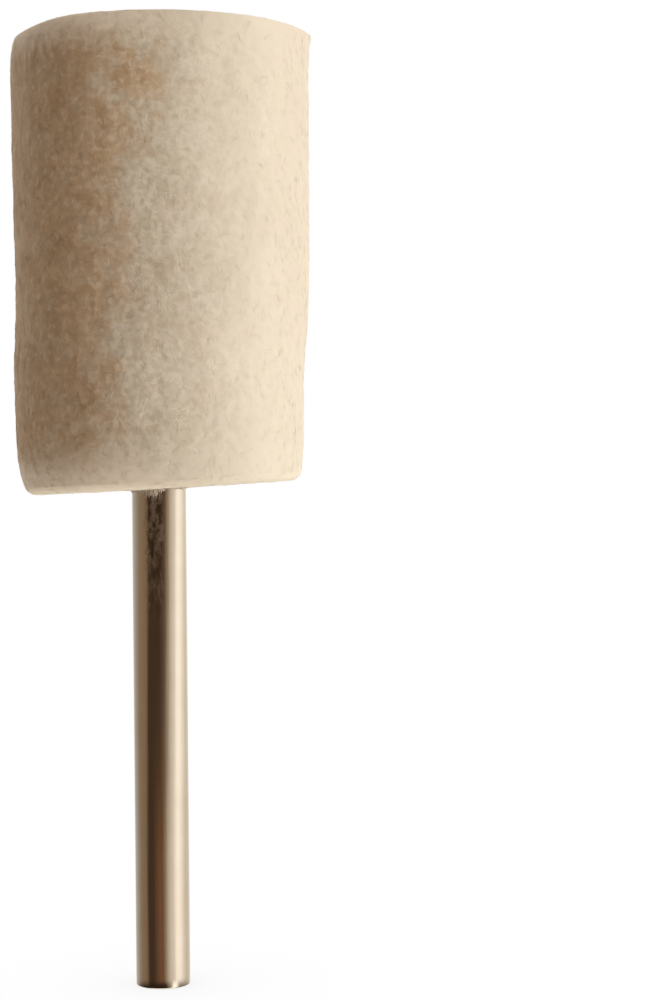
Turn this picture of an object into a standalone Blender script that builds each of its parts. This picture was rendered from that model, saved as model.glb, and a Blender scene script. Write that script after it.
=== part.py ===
"""Mounted felt polishing wheel: a pressed wool felt cylinder glued on a steel shank.

Run it with blender --background --python part.py, or from Blender's text editor.
Units are metres. The Z axis is the wheel's axis of rotation. The origin is the centre
of the shank's free end, and +Z runs up the shank into the felt.
"""

import math

import bmesh
import bpy
from mathutils import Matrix, Vector

MM = 0.001

# Driving dimensions.
SHANK_DIAMETER = 3.0 * MM
SHANK_LENGTH = 44.5 * MM
FREE_LENGTH = 27.5 * MM  # the stretch below the felt, which a collet grips
SHANK_CHAMFER = 0.15 * MM

FELT_DIAMETER = 16.5 * MM
FELT_LENGTH = 25.0 * MM
FELT_RIM_RADIUS = 0.6 * MM

GLUE_THICKNESS = 0.35 * MM
GAP = 0.25 * MM  # left between neighbouring solids
DRILL_POINT_ANGLE = math.radians(118)

SERRATION_COUNT = 18
SERRATION_DEPTH = 0.15 * MM
SERRATION_LENGTH = 12.0 * MM
SERRATION_INSET = 1.5 * MM  # from the shank's glued tip to the first serration

STEPS_FELT = 96
STEPS_PIN = 72  # a multiple of SERRATION_COUNT, so that every groove is alike
RIM_SEGMENTS = 6
MERGE_DISTANCE = 0.001 * MM
SHARP_ANGLE = math.radians(35)

# Worked out from the driving dimensions.
SHANK_RADIUS = SHANK_DIAMETER / 2
FELT_RADIUS = FELT_DIAMETER / 2
FELT_BOTTOM = FREE_LENGTH
FELT_TOP = FELT_BOTTOM + FELT_LENGTH
GLUE_INNER_RADIUS = SHANK_RADIUS + GAP
GLUE_OUTER_RADIUS = GLUE_INNER_RADIUS + GLUE_THICKNESS
BORE_RADIUS = GLUE_OUTER_RADIUS + GAP
GLUE_CAVITY_TOP = SHANK_LENGTH + GAP
GLUE_TOP = GLUE_CAVITY_TOP + GLUE_THICKNESS
BORE_TOP = GLUE_TOP + GAP


def clear_scene():
    for obj in list(bpy.data.objects):
        bpy.data.objects.remove(obj)


def new_collection(name):
    collection = bpy.data.collections.new(name)
    bpy.context.scene.collection.children.link(collection)
    return collection


def new_material(name, colour, roughness, metallic):
    material = bpy.data.materials.new(name)
    material.use_nodes = True
    shader = material.node_tree.nodes["Principled BSDF"]
    shader.inputs["Base Color"].default_value = (*colour, 1.0)
    shader.inputs["Roughness"].default_value = roughness
    shader.inputs["Metallic"].default_value = metallic
    return material


def cone_height(radius):
    """Height of the cone that a drill's point leaves at the end of a hole."""
    return radius / math.tan(DRILL_POINT_ANGLE / 2)


def rim_arc(centre_radius, centre_z, radius, start_angle, end_angle):
    """Points of a rounded rim, as (radius, z), from one angle to the other."""
    points = []
    for i in range(RIM_SEGMENTS + 1):
        angle = start_angle + (end_angle - start_angle) * i / RIM_SEGMENTS
        points.append((centre_radius + radius * math.cos(angle), centre_z + radius * math.sin(angle)))
    return points


def turned_solid(name, profile, steps, collection, material):
    """Solid of revolution about Z. The profile's (radius, z) points start on the axis
    at the top, run down the outer side, and end on the axis again."""
    sketch = bpy.data.meshes.new(name + "_profile")
    edges = [(i, i + 1) for i in range(len(profile) - 1)]
    sketch.from_pydata([(r, 0.0, z) for r, z in profile], edges, [])
    turning = bpy.data.objects.new(name + "_turning", sketch)
    collection.objects.link(turning)

    screw = turning.modifiers.new("Turn", "SCREW")
    screw.axis = "Z"
    screw.angle = 2 * math.pi
    screw.steps = steps
    screw.render_steps = steps
    screw.use_merge_vertices = True
    screw.merge_threshold = MERGE_DISTANCE

    depsgraph = bpy.context.evaluated_depsgraph_get()
    mesh = bpy.data.meshes.new_from_object(turning.evaluated_get(depsgraph))
    bpy.data.objects.remove(turning)
    mesh.name = name
    mesh.shade_smooth()
    mesh.set_sharp_from_angle(angle=SHARP_ANGLE)
    mesh.materials.clear()
    mesh.materials.append(material)

    solid = bpy.data.objects.new(name, mesh)
    collection.objects.link(solid)
    return solid


def make_felt_wheel(collection):
    """Felt cylinder with rounded rims and a blind bore, drilled from below."""
    inner = FELT_RADIUS - FELT_RIM_RADIUS
    profile = [(0.0, FELT_TOP)]
    profile += rim_arc(inner, FELT_TOP - FELT_RIM_RADIUS, FELT_RIM_RADIUS, math.pi / 2, 0.0)
    profile += rim_arc(inner, FELT_BOTTOM + FELT_RIM_RADIUS, FELT_RIM_RADIUS, 0.0, -math.pi / 2)
    profile += [
        (BORE_RADIUS, FELT_BOTTOM),
        (BORE_RADIUS, BORE_TOP),
        (0.0, BORE_TOP + cone_height(BORE_RADIUS)),
    ]
    material = new_material("pressed_wool_felt", (0.76, 0.68, 0.55), 0.95, 0.0)
    return turned_solid("felt_wheel", profile, STEPS_FELT, collection, material)


def make_adhesive_bond(collection):
    """Cup of cured adhesive, closed over the shank's tip and ending in the bore's mouth."""
    profile = [
        (0.0, GLUE_TOP + cone_height(GLUE_OUTER_RADIUS)),
        (GLUE_OUTER_RADIUS, GLUE_TOP),
        (GLUE_OUTER_RADIUS, FELT_BOTTOM),
        (GLUE_INNER_RADIUS, FELT_BOTTOM),
        (GLUE_INNER_RADIUS, GLUE_CAVITY_TOP),
        (0.0, GLUE_CAVITY_TOP),
    ]
    material = new_material("cured_adhesive", (0.52, 0.36, 0.17), 0.35, 0.0)
    return turned_solid("adhesive_bond", profile, STEPS_PIN, collection, material)


def make_serration_cutter(collection):
    """Ring of upright wedges, each with one edge pointing at the axis."""
    top = SHANK_LENGTH - SERRATION_INSET
    wedge_radius = 2 * SERRATION_DEPTH
    wedge_distance = SHANK_RADIUS - SERRATION_DEPTH + wedge_radius
    centre = Vector((wedge_distance, 0.0, top - SERRATION_LENGTH / 2))

    cutter_mesh = bpy.data.meshes.new("serration_cutter")
    wedges = bmesh.new()
    for i in range(SERRATION_COUNT):
        turn = Matrix.Rotation(2 * math.pi * (i + 0.5) / SERRATION_COUNT, 4, "Z")
        point_inward = Matrix.Rotation(math.pi / 2, 4, "Z")
        bmesh.ops.create_cone(
            wedges,
            cap_ends=True,
            segments=3,
            radius1=wedge_radius,
            radius2=wedge_radius,
            depth=SERRATION_LENGTH,
            matrix=turn @ Matrix.Translation(centre) @ point_inward,
        )
    wedges.to_mesh(cutter_mesh)
    wedges.free()

    cutter = bpy.data.objects.new("serration_cutter", cutter_mesh)
    collection.objects.link(cutter)
    cutter.hide_render = True
    cutter.display_type = "WIRE"
    return cutter


def make_shank(collection, cutters):
    """Straight pin, chamfered at both ends and serrated where the adhesive grips it."""
    inner = SHANK_RADIUS - SHANK_CHAMFER
    profile = [
        (0.0, SHANK_LENGTH),
        (inner, SHANK_LENGTH),
        (SHANK_RADIUS, SHANK_LENGTH - SHANK_CHAMFER),
        (SHANK_RADIUS, SHANK_CHAMFER),
        (inner, 0.0),
        (0.0, 0.0),
    ]
    material = new_material("polished_steel", (0.66, 0.62, 0.56), 0.22, 1.0)
    shank = turned_solid("shank", profile, STEPS_PIN, collection, material)

    cut = shank.modifiers.new("Serrations", "BOOLEAN")
    cut.operation = "DIFFERENCE"
    cut.solver = "EXACT"
    cut.object = make_serration_cutter(cutters)
    return shank


def main():
    clear_scene()
    parts = new_collection("felt_polishing_wheel")
    cutters = new_collection("cutters")
    make_felt_wheel(parts)
    make_adhesive_bond(parts)
    make_shank(parts, cutters)


main()
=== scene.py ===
"""Looks of the mounted felt polishing wheel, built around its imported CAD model.

The felt becomes a matted body under thousands of separate wool fibres, the shank a
polished pin with draw marks, and the adhesive a cup that wets the bore and the pin.
"""

import math
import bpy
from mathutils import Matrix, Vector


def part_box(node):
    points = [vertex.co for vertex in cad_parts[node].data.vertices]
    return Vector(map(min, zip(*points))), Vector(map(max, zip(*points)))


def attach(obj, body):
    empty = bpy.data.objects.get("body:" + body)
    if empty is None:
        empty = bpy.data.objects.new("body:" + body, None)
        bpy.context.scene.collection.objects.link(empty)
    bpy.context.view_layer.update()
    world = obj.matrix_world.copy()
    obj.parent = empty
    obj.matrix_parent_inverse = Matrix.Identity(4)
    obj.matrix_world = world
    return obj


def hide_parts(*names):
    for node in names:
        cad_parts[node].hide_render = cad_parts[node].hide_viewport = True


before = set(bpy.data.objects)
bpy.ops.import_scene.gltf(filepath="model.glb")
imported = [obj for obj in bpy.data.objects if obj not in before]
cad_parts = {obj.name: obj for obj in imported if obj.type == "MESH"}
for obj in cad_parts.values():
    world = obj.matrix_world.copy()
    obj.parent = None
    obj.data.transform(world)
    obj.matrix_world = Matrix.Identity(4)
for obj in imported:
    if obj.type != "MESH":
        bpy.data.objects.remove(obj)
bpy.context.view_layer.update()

from types import SimpleNamespace

import bpy
import numpy as np

MM = 0.001
SEED = 7

# Places and sizes that come from the frame.
felt_low, felt_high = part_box("felt_wheel")
shank_low, shank_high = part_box("shank")
glue_low, glue_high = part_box("adhesive_bond")
FELT_RADIUS = (felt_high.x - felt_low.x) / 2
FELT_BOTTOM, FELT_TOP = felt_low.z, felt_high.z
SHANK_RADIUS = (shank_high.x - shank_low.x) / 2
SHANK_BOTTOM, SHANK_TOP = shank_low.z, shank_high.z
GLUE_RADIUS = (glue_high.x - glue_low.x) / 2
GLUE_TOP = glue_high.z
GAP = 0.25 * MM  # left between the solids of the frame
BORE_RADIUS = GLUE_RADIUS + GAP
BORE_TOP = GLUE_TOP + GAP

# Camera: a little above the felt's lower face, and to the right of the wheel.
CAMERA_DISTANCE = 122.0 * MM
CAMERA_HEIGHT = FELT_BOTTOM + 1.8 * MM
AIM_HEIGHT = FELT_BOTTOM - 0.6 * MM
CAMERA_ASIDE = 9.72 * MM
CAMERA_ROLL = math.radians(0.43)
FRAMED_HEIGHT = 55.6 * MM
SENSOR_HEIGHT = 36.0

# Felt surface. A rim is the radius that rounds an edge.
UPPER_RIM = 0.09 * MM
LOWER_RIM = 0.50 * MM
FELT_STEP = 0.155 * MM  # between the mesh's points on the felt's side
END_STEP = FELT_STEP * 1.15
BORE_STEP = 1.5 * MM
RELIEF_SKIN = 0.06 * MM  # how far the lumps' mean level lies inside the nominal cylinder
# Length, height and number of the waves that add up to the lumps.
LUMP_WAVES = ((5.0 * MM, 0.022 * MM, 24), (1.4 * MM, 0.008 * MM, 40), (0.65 * MM, 0.005 * MM, 60))
OUT_OF_SQUARE = 0.045  # rise of the lower end from left to right
LOWER_END_RISE = 0.12 * MM

# Fibres.
FIBRE_POINTS = 10
FIBRES_PER_PIECE = 4000
BUNDLE_SPREAD = 0.05 * MM
BURIAL = 0.05 * MM
RIPPLE = 0.012 * MM
TUFTS = 24

# Shank and adhesive.
SHANK_SIDES = 216
SHANK_EDGE = 0.07 * MM
GROOVES = 18
GROOVE_DEPTH = 0.15 * MM
CUP_SIDES = 96


# ---------------------------------------------------------------- node trees

class Nodes:
    """A node tree with short ways to fill it. A value is a socket, a number or a tuple of numbers."""

    def __init__(self, tree):
        self.tree = tree

    def put(self, socket, value):
        """Links the value to the socket, or sets it there. None leaves the socket as it is."""
        if isinstance(value, bpy.types.NodeSocket):
            self.tree.links.new(value, socket)
        elif value is not None:
            socket.default_value = value

    def add(self, kind, *inputs, **properties):
        """A node with these properties, and these values on its inputs in order."""
        node = self.tree.nodes.new(kind)
        for key, value in properties.items():
            setattr(node, key, value)
        for socket, value in zip(node.inputs, inputs):
            self.put(socket, value)
        return node

    def axis(self, name, source="Object"):
        """One axis of the texture coordinates from this source."""
        coordinates = self.add("ShaderNodeTexCoord").outputs[source]
        return self.add("ShaderNodeSeparateXYZ", coordinates).outputs[name]

    def noise(self, size, detail=3.0, roughness=0.55, distortion=0.0):
        """Noise whose lumps have this size, one for all axes or one for each."""
        sizes = size if isinstance(size, tuple) else (size, size, size)
        coordinates = self.add("ShaderNodeTexCoord").outputs["Object"]
        place = self.add("ShaderNodeMapping", coordinates, None, None, [1 / s for s in sizes])
        node = self.add("ShaderNodeTexNoise", place.outputs[0])
        settings = {"Scale": 1.0, "Detail": detail, "Roughness": roughness, "Distortion": distortion}
        for key, value in settings.items():
            node.inputs[key].default_value = value
        return node.outputs["Fac"]

    def span(self, value, low, high, to_low=0.0, to_high=1.0, kind="LINEAR"):
        """Brings what goes from low to high to the range from to_low to to_high, and holds it there."""
        inputs = (value, low, high, to_low, to_high)
        return self.add("ShaderNodeMapRange", *inputs, interpolation_type=kind).outputs[0]

    def math(self, operation, first, second=0.0):
        """A sum, product or other operation on one or two values."""
        return self.add("ShaderNodeMath", first, second, operation=operation).outputs[0]

    def times(self, product, *others):
        """All these values multiplied."""
        for other in others:
            product = self.math("MULTIPLY", product, other)
        return product

    def mix(self, share, first, second):
        """The first colour, with this share of the second."""
        node = self.add("ShaderNodeMix", data_type="RGBA")
        for place, value in ((0, share), (6, first), (7, second)):
            self.put(node.inputs[place], (*value, 1.0) if isinstance(value, tuple) else value)
        return node.outputs[2]

    def bump(self, height, distance, under=None):
        """A normal for bumps of this height, laid over the bumps under them if there are any."""
        node = self.add("ShaderNodeBump")
        node.inputs["Distance"].default_value = distance
        self.put(node.inputs["Height"], height)
        self.put(node.inputs["Normal"], under)
        return node.outputs["Normal"]

    def ramp(self, share, stops, brightest):
        """Colours by degrees from -180 to 180, scaled down by the brightest value."""
        node = self.add("ShaderNodeValToRGB", share)
        elements = node.color_ramp.elements
        while len(elements) < len(stops):
            elements.new(0.5)
        for element, (degrees, colour) in zip(elements, stops):
            element.position = (degrees + 180) / 360
            element.color = (*(c / brightest for c in colour), 1.0)
        return node.outputs["Color"]


class Finish(Nodes):
    """The node tree of a new material."""

    def __init__(self, name):
        self.material = bpy.data.materials.new(name)
        self.material.use_nodes = True
        super().__init__(self.material.node_tree)
        self.shader = self.tree.nodes["Principled BSDF"]

    def done(self, **values):
        """The material, with these values on its shader's sockets, each named with _ for a space."""
        for key, value in values.items():
            self.put(self.shader.inputs[key.replace("_", " ")], value)
        return self.material


# ---------------------------------------------------------------- materials

# Colours of the felt.
PINKISH_WOOL = (0.765, 0.718, 0.65)
YELLOWISH_WOOL = (0.75, 0.725, 0.635)
# Painted light towards the felt's top and bottom edges on the left.
EDGE_LIGHT_WOOL = (0.95, 0.89, 0.80)
# Painted light right of the middle.
RIGHT_LIGHT_WOOL = (0.94, 0.90, 0.82)
# Painted shade on the felt's two ends and at its far right.
END_SHADE_WOOL = (0.60, 0.545, 0.455)
SHADED_WOOL = (0.60, 0.515, 0.405)
# Painted warm shade: brown on the felt's left, darker still in patches.
WARM_SHADED_WOOL = (0.69, 0.535, 0.375)
BROWN_SHADE_WOOL = (0.55, 0.395, 0.25)
# Painted shade in the lumps' hollows and painted highlights on their tops.
LUMP_SHADE_WOOL = (0.47, 0.38, 0.27)
LUMP_HIGHLIGHT_WOOL = (0.84, 0.78, 0.69)

# Colours of its fibres, where they differ from it.
# Painted warm brown shade on the fibres.
BROWN_SHADE_FIBRE = (0.56, 0.41, 0.265)
# Painted shade in the lumps' hollows on the fibres.
LUMP_SHADE_FIBRE = (0.50, 0.41, 0.31)

# Colours of the shank and the adhesive.
BARE_STEEL = (0.385, 0.355, 0.315)
TARNISHED_STEEL = (0.35, 0.31, 0.26)
# Specks on the pin's front below the felt, partly dirt and partly a painted mottled reflection.
STAIN_AND_REFLECTION = (0.09, 0.05, 0.03)
SMEAR_AND_REFLECTION = (0.22, 0.16, 0.115)
AMBER = (0.40, 0.25, 0.10)
CLOUDY_AMBER = (0.62, 0.47, 0.27)


def where_warm_shaded(nodes, x, z, clouds, patches):
    """Share of painted warm brown shade on the felt's left, ending in ragged patches towards the right
    and short of the felt's two ends.
    """
    wander = nodes.math("ADD", nodes.times(clouds, 7.0 * MM), nodes.times(patches, 6.0 * MM))
    slant = nodes.span(z, FELT_BOTTOM, FELT_TOP, -4.5 * MM, -6.6 * MM)
    reach = nodes.span(nodes.math("ADD", nodes.math("ADD", x, wander), slant), 0.8 * MM, -2.4 * MM)
    low = nodes.span(z, FELT_BOTTOM + 0.9 * MM, FELT_BOTTOM + 2.9 * MM)
    high = nodes.span(z, FELT_TOP - 0.7 * MM, FELT_TOP - 2.2 * MM)
    # Noise breaks the painted warm shade into patches.
    shade_breakup = nodes.span(nodes.noise(1.9 * MM, roughness=0.6, distortion=0.4), 0.40, 0.54, 0.7, 1.0)
    return nodes.times(reach, shade_breakup, low, high)


def wool_fields(nodes):
    """What felt and fibres share.

    Its clouds, patches and lumps are noise. The other five fields are shares: painted warm brown shade
    on the left, painted light towards the left's two edges and right of the middle, painted shade on
    the two ends and the far right, and how strongly the lumps show, in bumps and in painted shade and
    highlights. Its bumps are a normal.
    """
    x = nodes.axis("X")
    z = nodes.axis("Z")
    clouds = nodes.noise(2.4 * MM, roughness=0.6, distortion=0.3)
    patches = nodes.noise(1.3 * MM, detail=4.0, roughness=0.6, distortion=0.5)
    lumps = nodes.noise(0.34 * MM, detail=2.0, roughness=0.5, distortion=0.3)
    height = nodes.math("ADD", z, nodes.times(nodes.math("SUBTRACT", patches, 0.5), 1.6 * MM))
    # Painted warm brown shade on the left.
    warm_shade = where_warm_shaded(nodes, x, height, clouds, patches)

    # Painted light towards the top and bottom edges, on the left.
    low = nodes.span(height, FELT_BOTTOM + 3.2 * MM, FELT_BOTTOM + 0.9 * MM)
    high = nodes.span(height, FELT_TOP - 2.2 * MM, FELT_TOP - 0.7 * MM)
    edge_light = nodes.times(nodes.math("MAXIMUM", low, high), nodes.span(x, 3.0 * MM, -2.0 * MM))

    # Painted shade on the faces that look up or down at the two ends, and at the far right.
    facing_up = nodes.axis("Z", "Normal")
    upper_end = nodes.span(facing_up, 0.45, 0.9, 0.0, 0.35)
    lower_end = nodes.span(facing_up, -0.25, -0.8, 0.0, 0.5)
    ends = nodes.math("MAXIMUM", upper_end, lower_end)
    end_and_edge_shade = nodes.math("MAXIMUM", ends, nodes.span(x, 6.3 * MM, 8.2 * MM, 0.0, 0.42))
    # Painted light right of the middle.
    right_light = nodes.span(x, 1.0 * MM, 3.0 * MM, 0.0, 0.22)

    # How strongly the lumps show, in bumps and in painted shade and highlights: least on the front
    # right, where the light falls full on, and less off the far left, the edges and the ends.
    behind = nodes.span(nodes.axis("Y"), -1.0 * MM, 8.0 * MM, 0.0, 0.75)
    off_front_right = nodes.math("MAXIMUM", nodes.span(x, 5.5 * MM, 0.0, 0.15, 1.0), behind)
    off_left = nodes.span(x, -8.0 * MM, -6.0 * MM, 0.25)
    off_lower_edge = nodes.span(z, FELT_BOTTOM + 0.8 * MM, FELT_BOTTOM + 3.2 * MM, 0.25)
    off_upper_edge = nodes.span(z, FELT_TOP - 0.5 * MM, FELT_TOP - 2.2 * MM, 0.4)
    off_ends = nodes.span(ends, 0.0, 0.5, 1.0, 0.4)
    lump_relief_and_shade = nodes.times(off_front_right, off_left, off_lower_edge, off_upper_edge, off_ends)
    bumps = nodes.bump(nodes.times(nodes.math("SUBTRACT", lumps, 0.5), lump_relief_and_shade), 0.035 * MM)
    return SimpleNamespace(
        clouds=clouds, patches=patches, lumps=lumps, warm_shade=warm_shade, edge_light=edge_light,
        right_light=right_light, end_and_edge_shade=end_and_edge_shade, lump_relief_and_shade=lump_relief_and_shade, bumps=bumps)


def felt_material():
    """Matted wool: soft clouds of painted shade, painted warm brown shade in patches on the left,
    painted light and painted shade by its edges, and fine lumps with painted shade and highlights.
    """
    nodes = Finish("matted_wool")
    felt = wool_fields(nodes)
    tint = nodes.noise(1.3 * MM, detail=2.0)

    wool = nodes.mix(nodes.span(tint, 0.35, 0.65), PINKISH_WOOL, YELLOWISH_WOOL)
    shade = nodes.times(nodes.span(felt.clouds, 0.36, 0.64, 0.60, 0.0), felt.lump_relief_and_shade)
    # Painted light right of the middle.
    clouded = nodes.mix(shade, nodes.mix(felt.right_light, wool, RIGHT_LIGHT_WOOL), SHADED_WOOL)
    # Painted light towards the top and bottom edges on the left.
    edge_lit = nodes.mix(felt.edge_light, clouded, EDGE_LIGHT_WOOL)
    # Painted warm brown shade on the left, darker in patches.
    warm_shaded = nodes.mix(felt.warm_shade, edge_lit, WARM_SHADED_WOOL)
    brown_shade = nodes.times(nodes.span(felt.patches, 0.36, 0.60, 0.75, 0.0), felt.warm_shade)
    patched = nodes.mix(brown_shade, warm_shaded, BROWN_SHADE_WOOL)
    # Painted shade in the lumps' hollows and painted highlights on their tops.
    lump_shade = nodes.times(nodes.span(felt.lumps, 0.34, 0.56, 0.40, 0.0), felt.lump_relief_and_shade)
    lump_shaded = nodes.mix(lump_shade, patched, LUMP_SHADE_WOOL)
    light = nodes.times(nodes.span(felt.lumps, 0.54, 0.72, 0.0, 0.5), felt.lump_relief_and_shade)
    lit = nodes.mix(light, lump_shaded, LUMP_HIGHLIGHT_WOOL)
    # Painted shade on the ends and at the far right.
    colour = nodes.mix(felt.end_and_edge_shade, lit, END_SHADE_WOOL)
    return nodes.done(
        Base_Color=colour, Roughness=nodes.span(felt.lumps, 0.3, 0.7, 0.88, 0.98), Normal=felt.bumps,
        Sheen_Weight=0.3, Sheen_Roughness=0.5, Specular_IOR_Level=0.1,
    )


def fibre_material(name, dull, bright, warm_shade_colour):
    """Single wool fibres in shades from dull to bright, with the felt's painted warm brown shade,
    painted light and painted shade where the felt has them.
    """
    nodes = Finish(name)
    felt = wool_fields(nodes)
    island = nodes.add("ShaderNodeNewGeometry").outputs["Random Per Island"]
    # Painted light right of the middle.
    own = nodes.mix(felt.right_light, nodes.mix(island, dull, bright), RIGHT_LIGHT_WOOL)
    # Painted light towards the top and bottom edges on the left.
    edge_lit = nodes.mix(felt.edge_light, own, EDGE_LIGHT_WOOL)
    # Painted warm brown shade on the left, darker in patches.
    warm_shaded = nodes.mix(nodes.times(felt.warm_shade, 0.9), edge_lit, warm_shade_colour)
    brown_shade = nodes.times(nodes.span(felt.patches, 0.36, 0.60, 0.65, 0.0), felt.warm_shade)
    patched = nodes.mix(brown_shade, warm_shaded, BROWN_SHADE_FIBRE)
    # Painted shade in the lumps' hollows.
    lump_shade = nodes.times(nodes.span(felt.lumps, 0.34, 0.56, 0.32, 0.0), felt.lump_relief_and_shade)
    lump_shaded = nodes.mix(lump_shade, patched, LUMP_SHADE_FIBRE)
    # Painted shade on the ends and at the far right.
    colour = nodes.mix(felt.end_and_edge_shade, lump_shaded, END_SHADE_WOOL)
    return nodes.done(
        Base_Color=colour, Roughness=nodes.span(felt.lumps, 0.3, 0.7, 0.6, 0.8), Normal=felt.bumps,
        Sheen_Weight=0.15, Specular_IOR_Level=0.2,
    )


def steel_material():
    """Polished steel: draw marks along the pin, faint tarnish, and on the pin's front below the felt,
    specks partly of adhesive and dirt and partly a painted mottled reflection.
    """
    nodes = Finish("polished_steel")
    draw_marks = nodes.noise((0.06 * MM, 0.06 * MM, 7 * MM), roughness=0.6)
    waviness = nodes.noise((0.35 * MM, 0.35 * MM, 6 * MM), detail=2.0)
    tarnish = nodes.noise(1.8 * MM, detail=4.0, roughness=0.6)
    specks = nodes.noise((0.2 * MM, 0.2 * MM, 0.5 * MM), detail=1.0)

    z = nodes.axis("Z")
    close = nodes.span(z, FELT_BOTTOM - 2.2 * MM, FELT_BOTTOM - 0.2 * MM)
    further = nodes.span(z, FELT_BOTTOM - 7.5 * MM, FELT_BOTTOM - 3.5 * MM, 0.0, 0.75)
    x = nodes.axis("X")
    off_left, off_right = nodes.span(x, -0.85 * MM, -0.55 * MM), nodes.span(x, 0.45 * MM, 0.15 * MM)
    # On the pin's front below the felt only: dark and brown specks, rougher and less metallic, partly
    # dirt and partly a painted mottled reflection.
    dirt_and_reflection = nodes.times(nodes.math("MAXIMUM", close, further), off_left, off_right)
    smear_and_reflection = nodes.times(dirt_and_reflection, nodes.span(specks, 0.48, 0.62))
    stain_and_reflection = nodes.times(dirt_and_reflection, nodes.span(specks, 0.47, 0.36, 0.0, 0.65))

    bare = nodes.mix(nodes.span(tarnish, 0.35, 0.70, 0.0, 0.5), BARE_STEEL, TARNISHED_STEEL)
    stained_and_reflected = nodes.mix(stain_and_reflection, bare, STAIN_AND_REFLECTION)
    colour = nodes.mix(nodes.times(smear_and_reflection, 0.7), stained_and_reflected, SMEAR_AND_REFLECTION)
    polish = nodes.span(draw_marks, 0.3, 0.7, 0.07, 0.14)
    marks = nodes.bump(draw_marks, 0.0012 * MM)
    wavy = nodes.bump(waviness, 0.006 * MM, marks)
    return nodes.done(
        Base_Color=colour, Metallic=nodes.span(smear_and_reflection, 0.0, 1.0, 1.0, 0.62),
        Roughness=nodes.math("ADD", polish, nodes.times(smear_and_reflection, 0.22)),
        Normal=nodes.bump(smear_and_reflection, 0.0015 * MM, wavy),
    )


def adhesive_material():
    """Amber adhesive, cloudy where it has soaked up wool."""
    nodes = Finish("cured_adhesive")
    cloud = nodes.noise(0.5 * MM, roughness=0.6)
    return nodes.done(
        Base_Color=nodes.mix(nodes.span(cloud, 0.35, 0.68), AMBER, CLOUDY_AMBER),
        Roughness=nodes.span(cloud, 0.3, 0.7, 0.22, 0.5), Normal=nodes.bump(cloud, 0.018 * MM),
        Specular_IOR_Level=0.5,
    )


# ---------------------------------------------------------------- meshes

def place_piece(name, mesh, material, slot, *replaced):
    """A piece of this mesh that rides the root and stands for the nodes it replaces."""
    mesh.name = name
    mesh.materials.append(material)
    piece = bpy.data.objects.new(name, mesh)
    bpy.context.scene.collection.objects.link(piece)
    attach(piece, "root")
    if replaced:
        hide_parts(*replaced)
    return piece


def turned_mesh(profile, around, radius_at=None):
    """A closed mesh turned about Z, and its points.

    The profile's (radius, z) points start and end on the axis, with the outer side running down.
    """
    turns = np.arange(around) * 2 * np.pi / around
    rings = np.array(profile[1:-1])
    radii = np.repeat(rings[:, :1], around, axis=1)
    if radius_at is not None:
        radii = radius_at(radii, turns[None, :], rings[:, 1:2])
    heights = np.repeat(rings[:, 1:], around, axis=1)
    points = np.stack([radii * np.cos(turns), radii * np.sin(turns), heights], axis=-1)
    points = np.concatenate([points.reshape(-1, 3), [(0, 0, profile[0][1]), (0, 0, profile[-1][1])]])
    top, bottom = len(points) - 2, len(points) - 1
    index = np.arange(len(rings) * around).reshape(len(rings), around)
    after = np.roll(index, -1, axis=1)
    quads = np.stack([index[:-1], index[1:], after[1:], after[:-1]], axis=-1).reshape(-1, 4)
    faces = quads.tolist()
    faces += [(top, int(a), int(b)) for a, b in zip(index[0], after[0])]
    faces += [(bottom, int(b), int(a)) for a, b in zip(index[-1], after[-1])]
    mesh = bpy.data.meshes.new("turned")
    mesh.from_pydata(points.tolist(), [], faces)
    mesh.shade_smooth()
    return mesh, points


def stretch(start, end, step):
    """Points from start up to, but not including, end, evenly spaced about a step apart."""
    start, end = np.array(start), np.array(end)
    count = max(1, round(float(np.linalg.norm(end - start)) / step))
    return [tuple(start + (end - start) * i / count) for i in range(count)]


def rounded(centre_r, centre_z, radius, first, last, count=5):
    """Points of an arc in the profile's plane, without its last."""
    angles = [first + (last - first) * i / count for i in range(count)]
    return [(centre_r + radius * math.cos(a), centre_z + radius * math.sin(a)) for a in angles]


def smooth(value, low, high):
    """0 below low, 1 above high, and an eased step between them."""
    share = np.clip((value - low) / (high - low), 0, 1)
    return share * share * (3 - 2 * share)


def unit(vectors):
    """The vectors brought to length 1, and those of no length left as they are."""
    return vectors / np.maximum(np.linalg.norm(vectors, axis=-1, keepdims=True), 1e-12)


# ---------------------------------------------------------------- felt's shape

def felt_surface(points):
    """Nearest points on the felt's nominal cylinder with rounded rims, and the outward normals there."""
    middle = (FELT_TOP + FELT_BOTTOM) / 2
    rim = np.where(points[..., 2] > middle, UPPER_RIM, LOWER_RIM)
    half = (FELT_TOP - FELT_BOTTOM) / 2 - rim
    r = np.hypot(points[..., 0], points[..., 1])
    out = points[..., :2] / np.maximum(r, 1e-9)[..., None]
    z = points[..., 2] - middle
    core_r, core_z = np.minimum(r, FELT_RADIUS - rim), np.clip(z, -half, half)
    normal_rz = unit(np.stack([r - core_r, z - core_z], axis=-1))
    surface_rz = np.stack([core_r, core_z], axis=-1) + normal_rz * rim[..., None]
    surface = np.concatenate([out * surface_rz[..., :1], surface_rz[..., 1:] + middle], axis=-1)
    normal = np.concatenate([out * normal_rz[..., :1], normal_rz[..., 1:]], axis=-1)
    return surface, normal


def make_waves():
    """Random waves in space that add up to the felt's relief: their rates, phases and heights."""
    rng = np.random.default_rng(SEED)
    rates, phases, heights = [], [], []
    for length, height, count in LUMP_WAVES:
        direction = unit(rng.normal(size=(count, 3)))
        rates.append(direction * (2 * np.pi / (length * rng.uniform(0.7, 1.4, count)))[:, None])
        phases.append(rng.uniform(0, 2 * np.pi, count))
        heights.append(np.full(count, height * math.sqrt(2 / count)))
    return np.concatenate(rates), np.concatenate(phases), np.concatenate(heights)


WAVES = make_waves()


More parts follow.
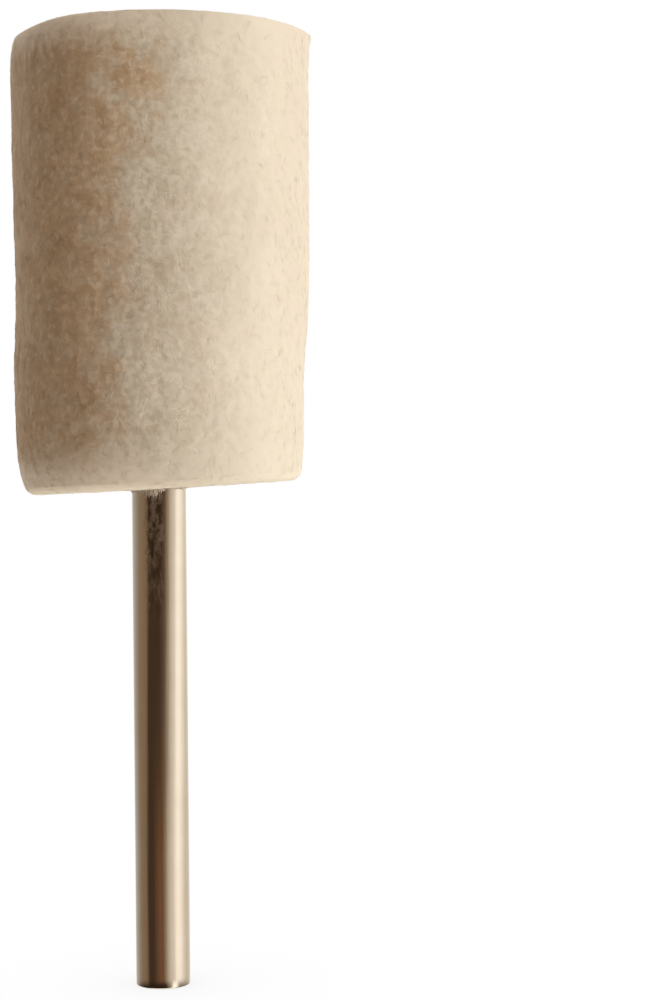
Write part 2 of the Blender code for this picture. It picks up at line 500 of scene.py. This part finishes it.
def relief(points):
    """Height of the lumps above the mean surface, lower along the felt's two edges, cut clean."""
    rates, phases, heights = WAVES
    along = np.minimum(points[..., 2] - FELT_BOTTOM, FELT_TOP - points[..., 2])
    inward = FELT_RADIUS - np.hypot(points[..., 0], points[..., 1])
    inside = 0.3 + 0.7 * smooth(np.maximum(along, inward), 0.2 * MM, 2.0 * MM)
    return inside * (np.sin(points @ rates.T + phases) @ heights)


def shape_by_hand(points):
    """The felt's irregularities as a whole.

    It is slimmer towards the shank, its left side is pressed in further up, its edges are worn soft
    on the left, the upper one is flared on the right, and both its ends are out of square.
    """
    x = points[..., 0]
    up = points[..., 2] - FELT_BOTTOM
    down = FELT_TOP - points[..., 2]
    outer = smooth(np.hypot(x, points[..., 1]), 0.35 * FELT_RADIUS, 0.95 * FELT_RADIUS)
    left = smooth(-x, 0.3 * FELT_RADIUS, FELT_RADIUS)
    right = smooth(x, -0.4 * FELT_RADIUS, 0.7 * FELT_RADIUS)
    fuller = right * smooth(up, 5.5 * MM, 13 * MM) + (1 - right) * smooth(up, 1 * MM, 20 * MM)
    swell = (0.40 * fuller - 0.10) * MM
    worn = -0.28 * MM * np.exp(-up / (1.1 * MM)) - 0.45 * MM * (1 - right) * np.exp(-up / (1.4 * MM))
    pressed = (0.22 + 0.36 * smooth(up, 2 * MM, 14 * MM)) * MM
    flare = (0.17 * right - 0.22 * (1 - right)) * MM * np.exp(-down / (0.5 * MM))
    shaped = points.copy()
    shaped[..., :2] *= (1 + outer * (swell + worn + flare) / FELT_RADIUS)[..., None]
    shaped[..., 0] += pressed * left
    shaped[..., 2] -= 0.22 * MM * left * smooth(up, 12 * MM, 25 * MM)
    shaped[..., 2] += (LOWER_END_RISE + OUT_OF_SQUARE * x) * (1 - smooth(up, 0.0, 12 * MM))
    return shaped


def skin(points):
    """Where points near the felt's nominal surface come to lie on its finished one."""
    surface, normal = felt_surface(points)
    return shape_by_hand(surface + normal * (relief(surface) - RELIEF_SKIN)[..., None])


def skin_normals(surface, normal):
    """Outward normals of the finished surface at points of the nominal one."""
    reach = 0.04 * MM
    oblique = (0.3, 0.2, 0.93)
    around = unit(np.cross(normal, oblique))
    along = np.cross(normal, around)
    first = skin(surface + around * reach) - skin(surface - around * reach)
    second = skin(surface + along * reach) - skin(surface - along * reach)
    return unit(np.cross(first, second))


def felt_profile():
    """Outline from the middle of the felt's top, down its side and up its bore."""
    inner, outer = FELT_RADIUS - UPPER_RIM, FELT_RADIUS - LOWER_RIM
    high, low = FELT_TOP - UPPER_RIM, FELT_BOTTOM + LOWER_RIM
    profile = stretch((0.0, FELT_TOP), (inner, FELT_TOP), END_STEP)
    profile += rounded(inner, high, UPPER_RIM, math.pi / 2, 0.0, 4)
    profile += stretch((FELT_RADIUS, high), (FELT_RADIUS, low), FELT_STEP)
    profile += rounded(outer, low, LOWER_RIM, 0.0, -math.pi / 2, 9)
    profile += stretch((outer, FELT_BOTTOM), (BORE_RADIUS, FELT_BOTTOM), END_STEP)
    profile += stretch((BORE_RADIUS, FELT_BOTTOM), (BORE_RADIUS, BORE_TOP), BORE_STEP)
    return profile + [(BORE_RADIUS, BORE_TOP), (0.0, BORE_TOP)]


def make_felt_body(material):
    """The felt, turned as a plain cylinder with its bore and then given its finished outside."""
    mesh, points = turned_mesh(felt_profile(), round(2 * math.pi * FELT_RADIUS / FELT_STEP))
    surface, _ = felt_surface(points)
    outside = np.linalg.norm(points - surface, axis=1) < 0.01 * MM
    points[outside] = skin(points[outside])
    mesh.vertices.foreach_set("co", points.astype(np.float32).ravel())
    mesh.update()
    return place_piece("felt_body", mesh, material, "wool_felt", "felt_wheel")


# ---------------------------------------------------------------- fibres

def tube_mesh(paths, normals, radii, flatness):
    """Closed three-sided tubes, pointed at both ends, along paths of (fibre, point, xyz).

    They are flattened against the felt and shaded mostly with its normals, as matted fibres look.
    """
    count, length, _ = paths.shape
    tangent = unit(np.gradient(paths, axis=1))
    side = unit(np.cross(tangent, normals))
    up = np.cross(side, tangent)
    turns = np.arange(3) * 2 * np.pi / 3
    upward = flatness * np.cos(turns)[:, None] * up[:, 1:-1, None, :]
    around = upward + np.sin(turns)[:, None] * side[:, 1:-1, None, :]
    rings = paths[:, 1:-1, None, :] + around * radii[:, 1:-1, None, None]
    points = np.concatenate([rings.reshape(count, -1, 3), paths[:, :1], paths[:, -1:]], axis=1)

    per = 3 * (length - 2) + 2
    first = (np.arange(count) * per)[:, None, None]
    step = np.arange(length - 3)[None, :, None] * 3
    corner = np.arange(3)[None, None, :]
    turned = (corner + 1) % 3
    a, b = first + step + corner, first + step + turned
    faces = np.stack([a, b, b + 3, a + 3], axis=-1).reshape(-1, 4).tolist()
    base, last = first[:, 0, 0], 3 * (length - 3)
    for c, d in ((0, 1), (1, 2), (2, 0)):
        faces += np.stack([base + per - 2, base + d, base + c], axis=-1).tolist()
        faces += np.stack([base + per - 1, base + last + c, base + last + d], axis=-1).tolist()
    mesh = bpy.data.meshes.new("tubes")
    mesh.from_pydata(points.reshape(-1, 3).tolist(), [], faces)

    felt_weight = 3
    shading = (around + felt_weight * normals[:, 1:-1, None, :]).reshape(count, -1, 3)
    shading = unit(np.concatenate([shading, normals[:, :1], normals[:, -1:]], axis=1))
    mesh.shade_smooth()
    mesh.normals_split_custom_set_from_vertices(shading.reshape(-1, 3).tolist())
    return mesh


def felt_spots(rng, count):
    """Random points spread evenly over the felt's side and its two ends, clear of the bore."""
    side_area = 2 * math.pi * FELT_RADIUS * (FELT_TOP - FELT_BOTTOM)
    end_area = math.pi * FELT_RADIUS**2
    where = rng.uniform(0, side_area + 2 * end_area, count)
    turn = rng.uniform(0, 2 * math.pi, count)
    r = np.where(where < side_area, FELT_RADIUS, FELT_RADIUS * np.sqrt(rng.uniform(0, 1, count)))
    lower = where > side_area + end_area
    r = np.where(lower, np.maximum(r, BORE_RADIUS), r)
    on_side = rng.uniform(FELT_BOTTOM, FELT_TOP, count)
    z = np.where(where < side_area, on_side, np.where(lower, FELT_BOTTOM, FELT_TOP))
    return np.stack([r * np.cos(turn), r * np.sin(turn), z], axis=-1)


def crawl(rng, starts, lengths, crimp, bundle):
    """Paths over the felt's nominal surface that wander as wool fibres do, with the normals along them.

    Those of a bundle keep much the same course.
    """
    count = len(starts)
    strands = count // bundle
    point, normal = felt_surface(starts)
    heading = np.repeat(rng.normal(size=(strands, 3)) * (1.0, 1.0, 0.5), bundle, axis=0)
    step = (lengths / (FIBRE_POINTS - 1))[:, None]
    bend = np.repeat(rng.normal(0, crimp / 2, strands), bundle)
    phase = np.repeat(rng.uniform(0, 2 * np.pi, strands), bundle)
    rate = np.repeat(rng.uniform(0.5, 1.1, strands), bundle)
    paths, normals = [], []
    for i in range(FIBRE_POINTS):
        paths.append(point)
        normals.append(normal)
        heading = unit(heading - normal * (heading * normal).sum(-1, keepdims=True))
        turn = bend + crimp * np.sin(phase + rate * i) + rng.normal(0, 0.1, count)
        aside = np.cross(normal, heading)
        heading = heading * np.cos(turn)[:, None] + aside * np.sin(turn)[:, None]
        point, normal = felt_surface(point + heading * step)
    return np.stack(paths, axis=1), np.stack(normals, axis=1)


def taper(along):
    """Share of the full thickness along a fibre, which thins to a point at both ends."""
    return np.sqrt(np.clip(np.sin(np.pi * (0.03 + 0.94 * along)), 0, 1))


def left_by_rubbing(rng, spots):
    """Those of the spots that keep their strands.

    In front, few do on the felt's smooth right side, and fewer higher up.
    """
    count = len(spots)
    lower = (FELT_TOP - spots[:, 2]) / (FELT_TOP - FELT_BOTTOM)
    clear_of_right = spots[:, 0] < (rng.uniform(-3.5, 3.5, count) + 2.7 * lower) * MM
    behind = spots[:, 1] > rng.uniform(0.5, 8.0, count) * MM
    thick = rng.uniform(0, 1, count) < 0.5 + 0.5 * lower
    return spots[(clear_of_right | behind) & thick]


def make_fibres(name, material, seed, strands, length, lift, thickness,
                bundle=1, crimp=0.5, free_end=0.0, rubbed=False):
    """Strands, each a bundle of fibres, that wander over the felt.

    Both ends of a fibre are buried or, with free_end, one stands off the felt by up to that much.
    """
    rng = np.random.default_rng(SEED + seed)
    spots = felt_spots(rng, strands)
    if rubbed:
        spots = left_by_rubbing(rng, spots)
    spots = np.repeat(spots, bundle, axis=0)
    count = len(spots)
    spots += rng.normal(0, BUNDLE_SPREAD, (count, 3)) * (bundle > 1)
    lengths = rng.uniform(*length, count)
    surface, nominal = crawl(rng, spots, lengths, crimp, bundle)
    normals = skin_normals(surface, nominal)
    along = np.linspace(0, 1, FIBRE_POINTS)
    arch = np.sin(np.pi * along) * rng.uniform(*lift, count)[:, None]
    ripple = RIPPLE * np.sin(along * 9 + rng.uniform(0, 6, count)[:, None])
    rise = along**2 * rng.uniform(0.2, 1.0, count)[:, None] * free_end
    sunk = along if free_end == 0 else along / 2
    buried = -BURIAL * (1 - np.sin(np.pi * sunk))
    paths = skin(surface) + normals * (arch + ripple + rise + buried)[..., None]
    radii = rng.uniform(*thickness, count)[:, None] * taper(along) / 2
    for i in range(0, count, FIBRES_PER_PIECE):
        part = slice(i, i + FIBRES_PER_PIECE)
        mesh = tube_mesh(paths[part], normals[part], radii[part], flatness=0.35)
        place_piece(f"{name}_{i // FIBRES_PER_PIECE + 1}", mesh, material, "wool_felt")


def make_mouth_fibres(material, count):
    """Fibres that bridge the bore's mouth and lie down in tufts on the first of the shank."""
    rng = np.random.default_rng(SEED + 4)
    along = np.linspace(0, 1, FIBRE_POINTS)[None, :]
    tuft = rng.integers(0, TUFTS, count)
    tuft_turn = rng.uniform(0, 2 * np.pi, TUFTS)[tuft] + rng.normal(0, 0.05, count)
    tuft_drop = rng.uniform(0.25, 0.95, TUFTS)[tuft] * rng.uniform(0.5, 1.0, count)
    # The tufts a little left of the middle hang lowest.
    tuft_drop *= 1 - 0.85 * smooth(np.abs(np.cos(tuft_turn) + 0.35), 0.3, 0.6)
    single = rng.uniform(0, 1, count) < 0.3
    turn = np.where(single, rng.uniform(0, 2 * np.pi, count), tuft_turn)[:, None]
    drop = np.where(single, rng.uniform(0.0, 0.22, count), tuft_drop)[:, None] * MM
    start_r = rng.uniform(BORE_RADIUS - 0.6 * MM, BORE_RADIUS + 0.3 * MM, count)[:, None]
    rest_r = SHANK_RADIUS + rng.uniform(0.012, 0.04, count)[:, None] * MM
    inward = np.clip(along * 2.2, 0, 1)
    r = start_r + (rest_r - start_r) * inward * (2 - inward)
    wave = 0.03 * MM * np.sin(along * 8 + rng.uniform(0, 6, count)[:, None])
    z = FELT_BOTTOM + LOWER_END_RISE - drop * along**2.5 + wave
    drift = rng.normal(0, 0.12, count)[:, None] * along
    turn = turn + drift + 0.03 * np.sin(along * 7 + rng.uniform(0, 6, count)[:, None])
    x, y = r * np.cos(turn), r * np.sin(turn)
    paths = np.stack([x, y, z + OUT_OF_SQUARE * x], axis=-1)
    normals = np.stack([np.cos(turn), np.sin(turn), 0 * turn], axis=-1)
    radii = rng.uniform(0.016, 0.030, count)[:, None] * MM * taper(along)
    return place_piece("mouth_fibres", tube_mesh(paths, normals, radii, 0.8), material, "wool_felt")


# ---------------------------------------------------------------- shank and adhesive

def serrated(radii, turns, z):
    """The pin's radius, less its fine grooves where the adhesive grips it."""
    inside = (z > FELT_BOTTOM + 3.5 * MM) & (z < SHANK_TOP - 1.4 * MM)
    off_groove = np.abs((turns * GROOVES / (2 * np.pi)) % 1 - 0.5) * 2
    return np.where(inside, radii - GROOVE_DEPTH * np.clip(1 - off_groove * 3, 0, 1), radii)


def make_shank(material):
    """Polished pin with its ends' edges broken, serrated where the adhesive grips it."""
    inner = SHANK_RADIUS - SHANK_EDGE
    high, low = SHANK_TOP - SHANK_EDGE, SHANK_BOTTOM + SHANK_EDGE
    profile = [(0.0, SHANK_TOP)]
    profile += rounded(inner, high, SHANK_EDGE, math.pi / 2, 0.0)
    profile += stretch((SHANK_RADIUS, high), (SHANK_RADIUS, low), 0.5 * MM)
    profile += rounded(inner, low, SHANK_EDGE, 0.0, -math.pi / 2)
    profile += [(inner, SHANK_BOTTOM), (0.0, SHANK_BOTTOM)]
    mesh, _ = turned_mesh(profile, SHANK_SIDES, serrated)
    return place_piece("polished_shank", mesh, material, "polished_steel", "shank")


def make_adhesive(material):
    """Cup of adhesive that wets the bore and the pin, a hollow fillet just inside the bore's mouth."""
    hug = 0.01 * MM
    inner, outer = SHANK_RADIUS + hug, BORE_RADIUS - hug
    top, cap = BORE_TOP - hug, SHANK_TOP + hug
    mouth = FELT_BOTTOM + 0.35 * MM
    profile = [(0.0, top)]
    profile += stretch((outer, top), (outer, mouth + 0.1 * MM), 1.0 * MM)
    for share in np.linspace(0, 1, 8):
        sag = 0.22 * math.sin(math.pi * share) - 0.25 * share
        profile.append((outer + (inner - outer) * share, mouth + sag * MM))
    profile += stretch((inner, FELT_BOTTOM + 0.8 * MM), (inner, cap), 1.0 * MM)
    profile += [(inner, cap), (0.0, cap)]
    mesh, _ = turned_mesh(profile, CUP_SIDES)
    return place_piece("adhesive_cup", mesh, material, "cured_adhesive", "adhesive_bond")


# ---------------------------------------------------------------- stage

def make_camera():
    """Camera at the photograph's viewing angle, which leaves room for the second wheel on the right."""
    camera = bpy.data.cameras.new("camera")
    camera.sensor_fit = "VERTICAL"
    camera.sensor_height = SENSOR_HEIGHT
    camera.lens = SENSOR_HEIGHT * CAMERA_DISTANCE / FRAMED_HEIGHT
    camera.clip_start = 1 * MM
    camera.clip_end = 10.0
    seen = bpy.data.objects.new("camera", camera)
    seen.location = (CAMERA_ASIDE, -CAMERA_DISTANCE, CAMERA_HEIGHT)
    dip = math.atan2(CAMERA_HEIGHT - AIM_HEIGHT, CAMERA_DISTANCE)
    seen.rotation_euler = (math.pi / 2 - dip, CAMERA_ROLL, 0.0)
    bpy.context.scene.collection.objects.link(seen)
    bpy.context.scene.camera = seen


def make_floor():
    """White floor with a faint shadow round the pin's foot, which lights and mirrors nothing."""
    half = 400 * MM
    z = SHANK_BOTTOM - 0.02 * MM
    corners = [(-half, -half, z), (half, -half, z), (half, half, z), (-half, half, z)]
    mesh = bpy.data.meshes.new("floor")
    mesh.from_pydata(corners, [], [(0, 1, 2, 3)])
    material = bpy.data.materials.new("white_floor")
    material.use_nodes = True
    nodes = Nodes(material.node_tree)
    nodes.tree.nodes.clear()
    openness = nodes.add("ShaderNodeAmbientOcclusion", None, 12 * MM, samples=16).outputs["AO"]
    glow = nodes.add("ShaderNodeEmission", nodes.span(openness, 0.0, 1.0, 0.80, 1.0))
    nodes.add("ShaderNodeOutputMaterial", glow.outputs[0])
    mesh.materials.append(material)
    floor = bpy.data.objects.new("floor", mesh)
    bpy.context.scene.collection.objects.link(floor)
    floor.visible_diffuse = False
    floor.visible_glossy = False
    floor.visible_shadow = False


# Colours of the light tent.
BACKLIGHT = (1.05, 0.96, 0.84)
GREY_CARD = (0.80, 0.73, 0.66)
WARM_CARD = (0.56, 0.41, 0.27)
CARD_EDGE = (0.50, 0.335, 0.20)
DARK_GAP = (0.125, 0.076, 0.043)
SHADE = (0.27, 0.17, 0.11)
WOOD = (0.38, 0.19, 0.095)
WINDOW_EDGE = (0.72, 0.55, 0.385)
DRAPE = (1.36, 1.20, 0.99)
NET = (1.68, 1.50, 1.34)
WINDOW = (2.50, 2.34, 2.08)
OPEN_WINDOW = (3.10, 2.90, 2.58)
CURTAIN = (1.45, 1.29, 1.08)
DIM = (0.35, 0.32, 0.28)
UNLIT = (0.05, 0.03, 0.02)

# The tent's wall by degrees to the right of the camera's side: at the wheel's own level, just below it,
# and further up and down, where little but the right is lit.
LEVEL_WALL = (
    (-180, BACKLIGHT), (-130, GREY_CARD), (-100, WARM_CARD), (-62, CARD_EDGE), (-52, DARK_GAP),
    (-3, DARK_GAP), (18, SHADE), (32, WINDOW_EDGE), (46, DRAPE), (62, NET), (75, WINDOW),
    (90, WINDOW), (130, CURTAIN), (180, BACKLIGHT),
)
LOW_WALL = (
    (-180, BACKLIGHT), (-125, GREY_CARD), (-95, WARM_CARD), (-68, CARD_EDGE), (-56, DARK_GAP),
    (-36, DARK_GAP), (-6, WOOD), (6, WOOD), (19, WINDOW_EDGE), (33, DRAPE), (53, NET),
    (66, WINDOW), (82, WINDOW), (118, CURTAIN), (180, BACKLIGHT),
)
SLOPED_WALL = (
    (-180, GREY_CARD), (-150, WARM_CARD), (-110, UNLIT), (18, UNLIT), (38, WINDOW_EDGE),
    (51, OPEN_WINDOW), (62, OPEN_WINDOW), (71, CURTAIN), (83, DIM), (150, DIM), (180, GREY_CARD),
)
TENT_ENDS = (2.70, 2.46, 2.10)  # straight above and straight below
BRIGHTEST = 3.1  # a colour ramp holds only up to 1, so the tent's colours are scaled down by this

# Sines of the angles to level between which one wall gives way to the next: the level wall to the low
# one, only below level, then both to the sloped one, and that to the tent's ends.
LOW_SLOPES = (0.12, 0.19)
WALL_SLOPES = (0.24, 0.36)
END_SLOPES = (0.80, 0.93)

# The level wall is turned to the right by this angle, and by less from level down to this sine.
LEAN_ANGLE = math.radians(14)
LEAN_SLOPE = 0.115


def make_world():
    """Soft studio light from all round, behind a plain white background."""
    world = bpy.data.worlds.new("light_tent")
    bpy.context.scene.world = world
    world.use_nodes = True
    nodes = Nodes(world.node_tree)
    nodes.tree.nodes.clear()
    x, y, z = (nodes.axis(name, "Generated") for name in "XYZ")
    angle = nodes.math("ARCTAN2", x, nodes.times(y, -1.0))
    below = nodes.times(z, -1.0)
    slope = nodes.math("ABSOLUTE", z)
    leaning = nodes.math("SUBTRACT", angle, nodes.span(below, 0.0, LEAN_SLOPE, LEAN_ANGLE, 0.0))
    straight_share, leaning_share = (nodes.span(turn, -math.pi, math.pi) for turn in (angle, leaning))

    level = nodes.ramp(leaning_share, LEVEL_WALL, BRIGHTEST)
    low, sloped = (nodes.ramp(straight_share, stops, BRIGHTEST) for stops in (LOW_WALL, SLOPED_WALL))
    ends = tuple(c / BRIGHTEST for c in TENT_ENDS)
    near = nodes.mix(nodes.span(below, *LOW_SLOPES, kind="SMOOTHSTEP"), level, low)
    walls = nodes.mix(nodes.span(slope, *WALL_SLOPES, kind="SMOOTHSTEP"), near, sloped)
    light = nodes.mix(nodes.span(slope, *END_SLOPES, kind="SMOOTHSTEP"), walls, ends)
    tent = nodes.add("ShaderNodeBackground", light, BRIGHTEST)
    white = nodes.add("ShaderNodeBackground", (1.0, 1.0, 1.0, 1.0), 1.0)
    seen = nodes.add("ShaderNodeLightPath").outputs["Is Camera Ray"]
    shown = nodes.add("ShaderNodeMixShader", seen, tent.outputs[0], white.outputs[0])
    nodes.add("ShaderNodeOutputWorld", shown.outputs[0])


def main():
    make_camera()
    make_world()
    make_floor()
    bpy.context.scene.view_settings.view_transform = "Standard"

    fibre = fibre_material(
        "wool_fibre", dull=(0.72, 0.675, 0.60), bright=(0.79, 0.765, 0.71), warm_shade_colour=WARM_SHADED_WOOL)
    strand = fibre_material(
        "wool_strand", dull=(0.82, 0.77, 0.68), bright=(0.92, 0.88, 0.80),
        warm_shade_colour=(0.82, 0.67, 0.51))
    # Painted light: a paler wool for the tufts by the bore, which lie in the felt's shade.
    lit_bore_fibres = fibre_material(
        "lit_wool_by_the_bore", dull=(0.90, 0.85, 0.77), bright=(0.97, 0.93, 0.87),
        warm_shade_colour=(0.94, 0.89, 0.81))
    make_felt_body(felt_material())
    make_fibres(
        "matted_fibres", fibre, seed=1, strands=16000, length=(0.9 * MM, 2.2 * MM),
        lift=(-0.01 * MM, 0.01 * MM), thickness=(0.026 * MM, 0.044 * MM))
    make_fibres(
        "light_strands", strand, seed=2, strands=3700, length=(1.0 * MM, 2.4 * MM),
        lift=(-0.006 * MM, 0.008 * MM), thickness=(0.034 * MM, 0.056 * MM),
        bundle=4, crimp=0.25, rubbed=True)
    make_fibres(
        "loose_ends", strand, seed=3, strands=600, length=(0.5 * MM, 1.2 * MM),
        lift=(0.0, 0.02 * MM), thickness=(0.012 * MM, 0.020 * MM),
        free_end=0.12 * MM, rubbed=True)
    make_mouth_fibres(lit_bore_fibres, 420)
    make_shank(steel_material())
    make_adhesive(adhesive_material())


main()
